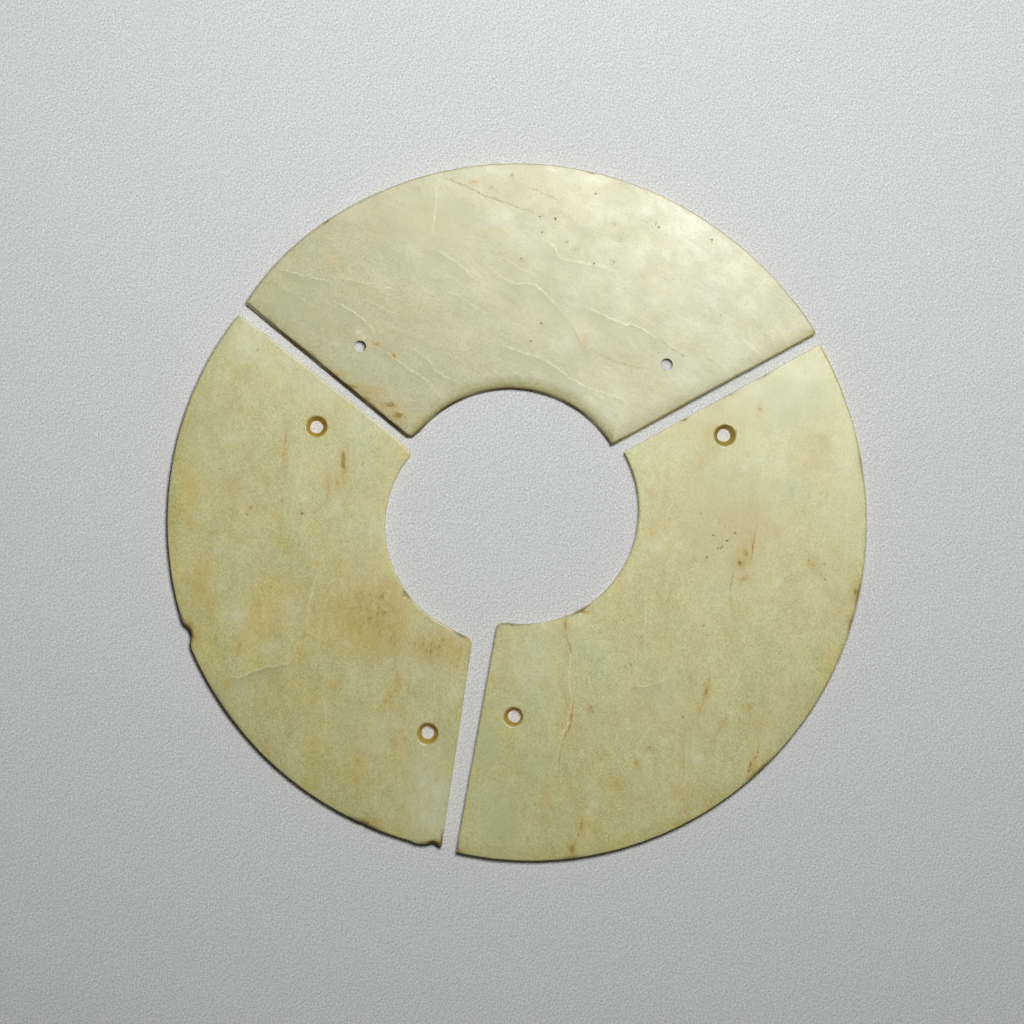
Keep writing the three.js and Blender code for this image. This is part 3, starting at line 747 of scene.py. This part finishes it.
def line_marks(places, lines):
    """Signed distance to the nearest line, how strong it is there, and how far its shade spreads."""
    gap = np.full(len(places), VEIL_REACH)
    second = np.full(len(places), VEIL_REACH)
    power = np.zeros(len(places))
    veil = np.zeros(len(places))
    for line_power, line_veil, *points in lines:
        line = smooth_line(points)
        low, high = line.min(axis=0) - VEIL_REACH, line.max(axis=0) + VEIL_REACH
        close = np.flatnonzero(((places > low) & (places < high)).all(axis=1))
        if not len(close):
            continue
        distance, run = beside_line(places[close], line)
        away = np.abs(distance)
        taper = np.clip(np.minimum(run, 1 - run) * TAPER_RATE, 0, 1)
        nearer = away < np.abs(gap[close])
        second[close] = np.where(nearer, np.abs(gap[close]), np.minimum(second[close], away))
        chosen = close[nearer]
        gap[chosen] = distance[nearer]
        power[chosen] = (line_power * taper * np.clip(2 - 2 * away / LINE_REACH, 0, 1))[nearer]
        shade = line_veil * taper * np.exp(-away / VEIL_FADE)
        shade *= np.clip(1 - away / VEIL_REACH, 0, 1)
        veil[chosen] = shade[nearer]
    veil *= np.clip((second - np.abs(gap)) / VEIL_PARTING, 0, 1)
    return np.clip(gap, -LINE_REACH, LINE_REACH), power, veil


def stain_mark(places, stains):
    """A soft mask of stains."""
    mask = np.zeros(len(places))
    for x, y, half_width, half_height, strength in stains:
        away = ((places[:, 0] - x) / half_width) ** 2 + ((places[:, 1] - y) / half_height) ** 2
        mask = np.maximum(mask, strength * np.exp(-STAIN_FALL * away))
    return mask


def speck_gap(places, specks):
    """Distance in mm to the nearest speck."""
    gap = np.full(len(places), SPECK_FAR)
    for speck in specks:
        gap = np.minimum(gap, np.linalg.norm(places - speck, axis=1))
    return gap


def hole_gap(places, mouths):
    """Distance in mm out from the nearest hole's mouth, and less than nothing on the wall inside it."""
    gap = np.full(len(places), HOLE_FAR)
    for centre, radius in mouths:
        gap = np.minimum(gap, np.linalg.norm(places - centre / MM, axis=1) - radius / MM)
    return gap


def write_marks(plate, name, edge, mouths):
    """Puts the marks in the stone on the plate's points, for its finish to read."""
    mesh = plate.data
    flat = np.empty(len(mesh.vertices) * 3)
    mesh.vertices.foreach_get("co", flat)
    places = flat.reshape(-1, 3)[:, :2] / MM
    vein_gap, vein_power, veil = line_marks(places, VEINS[name])
    seam_gap, seam_power, _ = line_marks(places, [(power, 0, *points) for power, *points in SEAMS[name]])
    marks = {
        "vein_gap": vein_gap,
        "vein_power": vein_power,
        "veil": veil,
        "seam_gap": seam_gap,
        "seam_power": seam_power,
        "speck_gap": speck_gap(places, SPECKS[name]),
        "hole_gap": hole_gap(places, mouths),
        "edge_gap": np.array([min(edge.drop(x * MM, y * MM)[1] / MM, EDGE_FAR) for x, y in places]),
    }
    for kind in STAIN_KINDS:
        marks[kind] = stain_mark(places, STAINS[name].get(kind, ()))
    for mark, values in marks.items():
        mesh.attributes.new(mark, "FLOAT", "POINT").data.foreach_set("value", values)


# ---------------------------------------------------------------- shader building

def place(tree, kind, inputs=(), **settings):
    """Adds a node with its settings, and joins or sets its inputs."""
    node = tree.nodes.new(kind)
    for name, value in settings.items():
        setattr(node, name, value)
    for key, value in dict(inputs).items():
        if isinstance(value, bpy.types.NodeSocket):
            tree.links.new(value, node.inputs[key])
        else:
            node.inputs[key].default_value = value
    return node


def maths(tree, operation, first, second=0.0, clamp=False):
    inputs = {0: first, 1: second}
    return place(tree, "ShaderNodeMath", inputs, operation=operation, use_clamp=clamp).outputs[0]


def times(tree, first, second, clamp=False):
    return maths(tree, "MULTIPLY", first, second, clamp)


def vector_maths(tree, operation, first, second):
    inputs = {0: first, 1: second}
    return place(tree, "ShaderNodeVectorMath", inputs, operation=operation).outputs[0]


def drawn_out(tree, spot, lean, stretch):
    """Places turned and squeezed, so that a pattern read at them leans and is drawn out."""
    inputs = {"Vector": spot, "Angle": lean}
    turned = place(tree, "ShaderNodeVectorRotate", inputs, rotation_type="Z_AXIS").outputs[0]
    return vector_maths(tree, "MULTIPLY", turned, stretch)


def eased(tree, value, start, end, low=0.0, high=1.0):
    """A smooth step from one value to another."""
    inputs = {"Value": value, "From Min": start, "From Max": end, "To Min": low, "To Max": high}
    return place(tree, "ShaderNodeMapRange", inputs, interpolation_type="SMOOTHSTEP").outputs["Result"]


def tinted(tree, mask, under, over):
    """One colour laid over another through a mask."""
    inputs = {0: mask, 6: under, 7: over}
    return place(tree, "ShaderNodeMix", inputs, data_type="RGBA", clamp_factor=True).outputs[2]


def noise_of(tree, vector, scale, detail=3.0, roughness=0.5, warp=0.0):
    inputs = {
        "Vector": vector, "Scale": scale, "Detail": detail,
        "Roughness": roughness, "Distortion": warp,
    }
    return place(tree, "ShaderNodeTexNoise", inputs).outputs["Fac"]


def stone_mark(tree, name):
    """Reads one of the marks written on the plate's points."""
    return place(tree, "ShaderNodeAttribute", attribute_name=name).outputs["Fac"]


def new_group(name, inputs, outputs):
    """An empty shader node group, with its input and output nodes."""
    group = bpy.data.node_groups.new(name, "ShaderNodeTree")
    for label, kind, default in inputs:
        socket = group.interface.new_socket(label, in_out="INPUT", socket_type=kind)
        if default is not None:
            socket.default_value = default
    for label, kind in outputs:
        group.interface.new_socket(label, in_out="OUTPUT", socket_type=kind)
    return group, group.nodes.new("NodeGroupInput").outputs, group.nodes.new("NodeGroupOutput").inputs


FLOAT, VECTOR = "NodeSocketFloat", "NodeSocketVector"


def grain_group():
    """Light and dark, warm and cool, and fine grit, all drawn out along the plate's bedding."""
    group, given, out = new_group(
        "stone_grain",
        [("Place", VECTOR, None), ("Lean", FLOAT, 0.0), ("Stretch", FLOAT, 0.5), ("Nap", FLOAT, 0.0)],
        [("Tone", FLOAT), ("Warmth", FLOAT), ("Grit", FLOAT), ("Ledge", FLOAT)],
    )
    stretch = place(group, "ShaderNodeCombineXYZ", {0: 1.0, 1: given["Stretch"], 2: 0.6}).outputs[0]
    drawn = drawn_out(group, given["Place"], given["Lean"], stretch)
    group.links.new(noise_of(group, drawn, 115.0, 6.0, 0.84, 0.3), out["Tone"])
    layers = times(group, noise_of(group, drawn, 42.0, 7.0, 0.55, 0.2), 11.0)
    group.links.new(maths(group, "FRACT", layers), out["Ledge"])
    group.links.new(noise_of(group, drawn, 62.0, 5.0, 0.66, 0.5), out["Warmth"])
    combed = drawn_out(group, given["Place"], given["Nap"], (1.0, 0.65, 1.0))
    group.links.new(noise_of(group, combed, 2900.0, 2.0, 0.7), out["Grit"])
    return group


def line_group():
    """A broken, wandering line from the distance to its middle, and which places lie below it."""
    group, given, out = new_group(
        "stone_line",
        [("Place", VECTOR, None), ("Gap", FLOAT, 9.0), ("Power", FLOAT, 0.0), ("Width", FLOAT, 0.4)],
        [("Line", FLOAT), ("Below", FLOAT)],
    )
    wander = maths(group, "SUBTRACT", noise_of(group, given["Place"], 430.0, 6.0, 0.8), 0.5)
    gap = maths(group, "ADD", given["Gap"], times(group, wander, 2.6))
    swell = maths(group, "ADD", noise_of(group, given["Place"], 260.0, 3.0), 0.35)
    width = times(group, given["Width"], swell)
    away = maths(group, "DIVIDE", maths(group, "ABSOLUTE", gap), width)
    core = maths(group, "SUBTRACT", 1.0, away, clamp=True)
    broken = eased(group, noise_of(group, given["Place"], 800.0, 3.0, 0.6), 0.35, 0.6, 0.3, 1.0)
    line = times(group, times(group, core, given["Power"]), broken)
    group.links.new(line, out["Line"])
    group.links.new(eased(group, gap, 0.08, -0.12), out["Below"])
    return group


def stain_group():
    """A stain soaked in along the grain: a soft uneven tint, and small dark dots where it is strong."""
    group, given, out = new_group(
        "stone_stain",
        [("Place", VECTOR, None), ("Mask", FLOAT, 0.0), ("Lean", FLOAT, 0.0), ("Ragged", FLOAT, 0.5)],
        [("Stain", FLOAT), ("Dots", FLOAT)],
    )
    drawn = drawn_out(group, given["Place"], given["Lean"], (1.0, 0.5, 1.0))
    uneven = maths(group, "SUBTRACT", noise_of(group, drawn, 420.0, 6.0, 0.72, 0.4), 0.5)
    uneven = times(group, times(group, uneven, given["Ragged"]), 6.0)
    torn = maths(group, "ADD", uneven, 1.0)
    group.links.new(times(group, given["Mask"], torn, clamp=True), out["Stain"])
    specks = noise_of(group, drawn, 1700.0, 3.0, 0.6)
    reach = maths(group, "SUBTRACT", 0.72, times(group, given["Mask"], 0.2))
    above = times(group, maths(group, "SUBTRACT", specks, reach), 14.0, clamp=True)
    group.links.new(times(group, above, eased(group, given["Mask"], 0.08, 0.4)), out["Dots"])
    return group


def polish_group():
    """Fine grinding scratches and pits, as a height, and how much they dull the polish."""
    group, given, out = new_group(
        "worn_polish",
        [("Place", VECTOR, None), ("Lean", FLOAT, 0.0), ("Mottle", FLOAT, 0.5)],
        [("Height", FLOAT), ("Dullness", FLOAT)],
    )
    drawn = drawn_out(group, given["Place"], given["Lean"], (1.0, 0.05, 1.0))
    scratches = noise_of(group, drawn, 1700.0, 3.0, 0.7)
    pits = eased(group, noise_of(group, given["Place"], 1500.0, 4.0, 0.6), 0.28, 0.42)
    swells = noise_of(group, given["Place"], 160.0, 3.0)
    height = maths(group, "ADD", times(group, scratches, 0.25), times(group, pits, 0.5))
    height = maths(group, "ADD", height, swells)
    dull = maths(group, "ADD", times(group, swells, 0.5), times(group, given["Mottle"], 0.5))
    group.links.new(height, out["Height"])
    group.links.new(dull, out["Dullness"])
    return group


GRAIN = grain_group()
LINE = line_group()
STAIN = stain_group()
POLISH = polish_group()


def group_node(tree, group, **inputs):
    """Places a node group in a tree; inputs are given by label, in lower case."""
    labels = {label.lower(): value for label, value in inputs.items()}
    node = place(tree, "ShaderNodeGroup", node_tree=group)
    for socket in node.inputs:
        value = labels.get(socket.name.lower())
        if isinstance(value, bpy.types.NodeSocket):
            tree.links.new(value, socket)
        elif value is not None:
            socket.default_value = value
    return node.outputs


# ---------------------------------------------------------------- jade

def srgb(red, green, blue):
    """A colour from its eight-bit display values, as linear light."""
    def linear(value):
        value /= 255
        return value / 12.92 if value <= 0.04045 else ((value + 0.055) / 1.055) ** 2.4
    return (linear(red), linear(green), linear(blue), 1.0)


BROWN_STAIN = srgb(152, 122, 0)
BROWN_HALO = srgb(184, 152, 0)
OCHRE_STAIN = srgb(190, 164, 62)
# Pale cream of the stone, also painted sheen where the lamp's reflection lies.
PALE_STAIN_AND_SHEEN = srgb(219, 217, 182)
STAIN_DOT = srgb(130, 98, 0)
VEIN_CREAM = srgb(224, 215, 166)
VEIN_SHADE = srgb(158, 160, 103)
SEAM_BROWN = srgb(170, 120, 8)
SPECK = srgb(118, 93, 0)
# Dark brown of crusted edges, also painted shade along the back plate's shaded edges.
EDGE_CRUST_AND_SHADE = srgb(92, 62, 4)
# Golden stain of the holes' lips, lightened as painted light.
BORE_LIP_STAIN_AND_LIGHT = srgb(226, 202, 84)
BORE = srgb(194, 154, 4)
DAMP_STAIN = srgb(168, 160, 58)

# For each finish: the body's colour and its warm and green tints, how far the grain leans and is
# squeezed, how strongly its layers end in ledges, and which way its finest grain runs.
JADES = {
    "pale_jade": dict(
        body=(179, 175, 127), warm=(182, 175, 111), green=(171, 174, 124),
        lean=radians(-60), stretch=0.42, ledges=0.09, nap=radians(50),
    ),
    "olive_jade": dict(
        body=(197, 194, 136), warm=(198, 186, 106), green=(184, 186, 128),
        lean=radians(-5), stretch=0.6, ledges=0.035, nap=radians(25),
    ),
    "mottled_jade": dict(
        body=(201, 198, 137), warm=(200, 189, 112), green=(186, 189, 138),
        lean=radians(-13), stretch=0.6, ledges=0.04, nap=radians(25),
    ),
}
CLOUD_DEPTH = 0.22             # how far clouds lighten and deepen the body
GRIT_DEPTH = 1.5               # how strongly the finest grain joins in that
BLUE_SHADE = 1.6               # clouds change the blue more, so that they read as grey
VEIL_DEPTH = 0.85              # how far the stone below a vein takes on its shade
VEIN_STRENGTH = 1.05
SEAM_STRENGTH = 1.1
FLECK_MASK = 0.35              # how thickly cream flecks are strewn
FLECK_DEPTH = 0.15
POLISH_RELIEF = 0.06 * MM      # height of the scratches and swells in the polish
GLEAM = (0.26, 0.34)           # roughness of the brightest polish and of the dullest
MATTE = 0.5                    # and what stains, crust and hole walls add to it


def clouded_body(tree, grain, body, warm, green, ledges):
    """The stone's own colour: warm and green patches, clouds, grit and the ledges of its layers."""
    colour = tinted(tree, eased(tree, grain["Warmth"], 0.4, 0.75), body, warm)
    colour = tinted(tree, eased(tree, grain["Warmth"], 0.48, 0.25, 0.0, 0.6), colour, green)
    grit = times(tree, maths(tree, "SUBTRACT", grain["Grit"], 0.5), GRIT_DEPTH)
    tone = maths(tree, "ADD", grain["Tone"], grit)
    inputs = {
        "Value": tone, "From Min": 0.2, "From Max": 0.8,
        "To Min": 1 - CLOUD_DEPTH, "To Max": 1 + CLOUD_DEPTH,
    }
    shade = place(tree, "ShaderNodeMapRange", inputs).outputs[0]
    ledge = times(tree, maths(tree, "POWER", grain["Ledge"], 2.5), ledges)
    shade = times(tree, shade, maths(tree, "ADD", ledge, 1 - ledges / 3))
    blue = maths(tree, "ADD", times(tree, shade, BLUE_SHADE), 1 - BLUE_SHADE)
    shade = place(tree, "ShaderNodeCombineXYZ", {0: shade, 1: shade, 2: blue}).outputs[0]
    return vector_maths(tree, "MULTIPLY", colour, shade)


def line_through(tree, spot, kind):
    """One kind of line drawn through the stone, from its marks."""
    gap = stone_mark(tree, kind + "_gap")
    power = stone_mark(tree, kind + "_power")
    return group_node(tree, LINE, place=spot, gap=gap, power=power, width=LINE_WIDTH)


def drilled_walls(tree, grain):
    """A mask of the holes' walls and their worn lips, and their colour: a golden stain, lightened at the
    lip as painted light.
    """
    hole = stone_mark(tree, "hole_gap")
    worn = maths(tree, "ADD", hole, times(tree, grain["Grit"], 0.8))
    wall = tinted(tree, eased(tree, hole, 0.0, -0.8), BORE_LIP_STAIN_AND_LIGHT, BORE)
    return eased(tree, worn, 0.5, 0.0, 0.0, 0.95), wall


def mineral_specks(tree, grain):
    """A mask of the dark specks, each torn at its edge and with small grains about it."""
    speck = stone_mark(tree, "speck_gap")
    torn = times(tree, maths(tree, "SUBTRACT", grain["Grit"], 0.5), 2.2)
    core = eased(tree, maths(tree, "ADD", speck, torn), 0.42, 0.12, 0.0, 0.9)
    about = eased(tree, speck, 1.7, 0.9, 0.0, 0.55)
    return maths(tree, "MAXIMUM", core, times(tree, eased(tree, grain["Grit"], 0.6, 0.7), about))


def edge_crust_and_shade(tree, grain):
    """A mask of the brown crusted edges and chips, which along the back plate's inner arc and cuts also
    paints the shade of those edges.
    """
    ragged = maths(tree, "ADD", stone_mark(tree, "edge_gap"), times(tree, grain["Grit"], 0.5))
    line = eased(tree, ragged, 1.15, 0.75, 0.0, 0.75)
    haze = eased(tree, ragged, 2.2, 0.9, 0.0, 0.2)
    crust_and_shade_strength = maths(tree, "ADD", stone_mark(tree, "crust_and_shade"), 0.05, clamp=True)
    return times(tree, maths(tree, "ADD", line, haze), crust_and_shade_strength)


def jade(name, body, warm, green, lean, stretch, ledges, nap):
    """Worn nephrite: clouded, grained along its bedding, veined and stained."""
    material = bpy.data.materials.new(name)
    material.use_nodes = True
    tree = material.node_tree
    shader = tree.nodes["Principled BSDF"]
    spot = place(tree, "ShaderNodeTexCoord").outputs["Object"]
    grain = group_node(tree, GRAIN, place=spot, lean=lean, stretch=stretch, nap=nap)
    body, warm, green = srgb(*body), srgb(*warm), srgb(*green)
    matte = []

    def stained(under, mark, over, strength, ragged, dotted=0.0, core=None, dot=STAIN_DOT):
        """One kind of stain laid over the stone, with a deeper core and dots where it has them."""
        stain = group_node(tree, STAIN, place=spot, mask=stone_mark(tree, mark), lean=lean, ragged=ragged)
        if core:
            deep = eased(tree, stain["Stain"], 0.5, 1.0)
            over = tinted(tree, deep, over, core)
            matte.append(times(tree, deep, 0.6))
        under = tinted(tree, times(tree, stain["Stain"], strength), under, over)
        if not dotted:
            return under
        dots = times(tree, stain["Dots"], dotted)
        if dot == STAIN_DOT:
            matte.append(dots)
        return tinted(tree, dots, under, dot)

    colour = clouded_body(tree, grain, body, warm, green, ledges)
    vein = line_through(tree, spot, "vein")
    below = times(tree, times(tree, vein["Below"], stone_mark(tree, "veil")), VEIL_DEPTH)
    colour = tinted(tree, below, colour, VEIN_SHADE)
    bored, wall = drilled_walls(tree, grain)
    colour = tinted(tree, bored, colour, wall)

    colour = stained(colour, "green", green, strength=0.8, ragged=0.4)
    colour = stained(colour, "damp", DAMP_STAIN, strength=0.9, ragged=0.1)
    # Pale clouds in the stone, which towards the disc's upper right also paint the sheen of the lamp's
    # reflection.
    colour = stained(colour, "pale", PALE_STAIN_AND_SHEEN, strength=0.75, ragged=0.7, dotted=0.6, dot=VEIN_CREAM)
    colour = stained(colour, "ochre", OCHRE_STAIN, strength=0.7, ragged=0.4, dotted=0.25)
    colour = stained(colour, "brown", BROWN_HALO, strength=0.75, ragged=0.7, dotted=0.55, core=BROWN_STAIN)
    elsewhere = vector_maths(tree, "ADD", spot, (0.3, 0.5, 0.7))
    flecks = group_node(tree, STAIN, place=elsewhere, mask=FLECK_MASK, lean=lean)["Dots"]
    colour = tinted(tree, times(tree, flecks, FLECK_DEPTH), colour, VEIN_CREAM)

    colour = tinted(tree, times(tree, vein["Line"], VEIN_STRENGTH, clamp=True), colour, VEIN_CREAM)
    seam = times(tree, line_through(tree, spot, "seam")["Line"], SEAM_STRENGTH, clamp=True)
    colour = tinted(tree, seam, colour, SEAM_BROWN)
    specked = mineral_specks(tree, grain)
    colour = tinted(tree, specked, colour, SPECK)
    # Crusted edges and chips, with painted shade along the back plate's shaded edges.
    crust_and_shade_band = edge_crust_and_shade(tree, grain)
    colour = tinted(tree, crust_and_shade_band, colour, EDGE_CRUST_AND_SHADE)

    polish = group_node(tree, POLISH, place=spot, lean=lean, mottle=grain["Grit"])
    relief = {"Height": polish["Height"], "Strength": 0.3, "Distance": POLISH_RELIEF}
    bump = place(tree, "ShaderNodeBump", relief)
    tree.links.new(bump.outputs[0], shader.inputs["Normal"])
    tree.links.new(colour, shader.inputs["Base Color"])
    unpolished = bored
    for mask in (specked, seam, crust_and_shade_band, *matte):
        unpolished = maths(tree, "MAXIMUM", unpolished, mask)
    gleam = eased(tree, polish["Dullness"], 0.3, 0.7, *GLEAM)
    rough = maths(tree, "ADD", gleam, times(tree, unpolished, MATTE), clamp=True)
    tree.links.new(rough, shader.inputs["Roughness"])
    shader.inputs["IOR"].default_value = 1.45
    shader.inputs["Subsurface Weight"].default_value = 0.12
    shader.inputs["Subsurface Radius"].default_value = (1.0, 0.85, 0.45)
    shader.inputs["Subsurface Scale"].default_value = 1.2 * MM
    return material


# ---------------------------------------------------------------- setting

PAPER_REACH = 0.9              # half the width of the sheet
PAPER_DARK = (0.5, 0.51, 0.51, 1.0)
PAPER_LIGHT = (0.93, 0.94, 0.94, 1.0)
PAPER_CLOUD = (0.64, 0.65, 0.65, 1.0)
KEY_PLACE = (0.112, 0.212, 0.940)
KEY_AIM = (0.0, 0.265, 0.0)
KEY_SPREAD = radians(100)
KEY_WIDTH = 0.28
KEY_POWER = 2.68
FILL = 0.04                    # light from all round, which softens the shadows
CAMERA_HEIGHT = 3.0
FRAME_WIDTH = 1.464            # the view's width over the disc's
FRAME_OFFSET = -1.5 * MM       # how far aside of the disc's middle the camera stands


def paper():
    """A sheet of pale, finely grained paper under the disc."""
    sheet = bmesh.new()
    bmesh.ops.create_grid(sheet, x_segments=4, y_segments=4, size=PAPER_REACH)
    floor = as_object(sheet, "paper")
    material = bpy.data.materials.new("pale_paper")
    material.use_nodes = True
    tree = material.node_tree
    shader = tree.nodes["Principled BSDF"]
    spot = place(tree, "ShaderNodeTexCoord").outputs["Object"]
    drawn = drawn_out(tree, spot, radians(-35), (1.0, 0.6, 1.0))
    fibre = noise_of(tree, drawn, 2600.0, 2.0, 0.8)
    cloud = noise_of(tree, spot, 240.0, 4.0, 0.7)
    tone = tinted(tree, eased(tree, fibre, 0.3, 0.7), PAPER_DARK, PAPER_LIGHT)
    tone = tinted(tree, eased(tree, cloud, 0.35, 0.7, 0.0, 0.25), tone, PAPER_CLOUD)
    bump = place(tree, "ShaderNodeBump", {"Height": fibre, "Strength": 0.4, "Distance": 0.1 * MM})
    tree.links.new(tone, shader.inputs["Base Color"])
    tree.links.new(bump.outputs[0], shader.inputs["Normal"])
    shader.inputs["Roughness"].default_value = 0.9
    shader.inputs["Specular IOR Level"].default_value = 0.2
    floor.data.materials.append(material)


def aimed(thing, place_at, target):
    thing.location = place_at
    thing.rotation_euler = (Vector(target) - Vector(place_at)).to_track_quat("-Z", "Y").to_euler()
    bpy.context.scene.collection.objects.link(thing)


def studio_light():
    """One soft overhead lamp and a weak even fill."""
    lamp = bpy.data.lights.new("key", "AREA")
    lamp.shape = "DISK"
    lamp.size = KEY_WIDTH
    lamp.spread = KEY_SPREAD
    lamp.energy = KEY_POWER
    aimed(bpy.data.objects.new("key", lamp), KEY_PLACE, KEY_AIM)
    world = bpy.data.worlds.new("fill")
    world.use_nodes = True
    world.node_tree.nodes["Background"].inputs["Color"].default_value = (FILL, FILL, FILL, 1.0)
    bpy.context.scene.world = world


def overhead_camera():
    """A long lens straight above the disc."""
    low, high = CAD_BOX
    centre = (Vector(low) + Vector(high)) / 2
    camera = bpy.data.cameras.new("overhead")
    width = FRAME_WIDTH * (high[0] - low[0])
    camera.lens = camera.sensor_width * CAMERA_HEIGHT / width
    camera.clip_start = 0.05
    thing = bpy.data.objects.new("overhead", camera)
    thing.location = (centre.x + FRAME_OFFSET, centre.y, high[2] + CAMERA_HEIGHT)
    bpy.context.scene.collection.objects.link(thing)
    bpy.context.scene.camera = thing


# ---------------------------------------------------------------- assembly

def build():
    for seed, (name, (node_name, slot, _)) in enumerate(PLATES.items()):
        plate, edge, mouths = jade_plate(name, seed * 10)
        write_marks(plate, name, edge, mouths)
        plate.data.materials.clear()
        plate.data.materials.append(jade(slot, **JADES[slot]))
        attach(plate, "root")
        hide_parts(node_name)
    paper()
    studio_light()
    overhead_camera()
    bpy.context.scene.view_settings.view_transform = "Standard"


build()
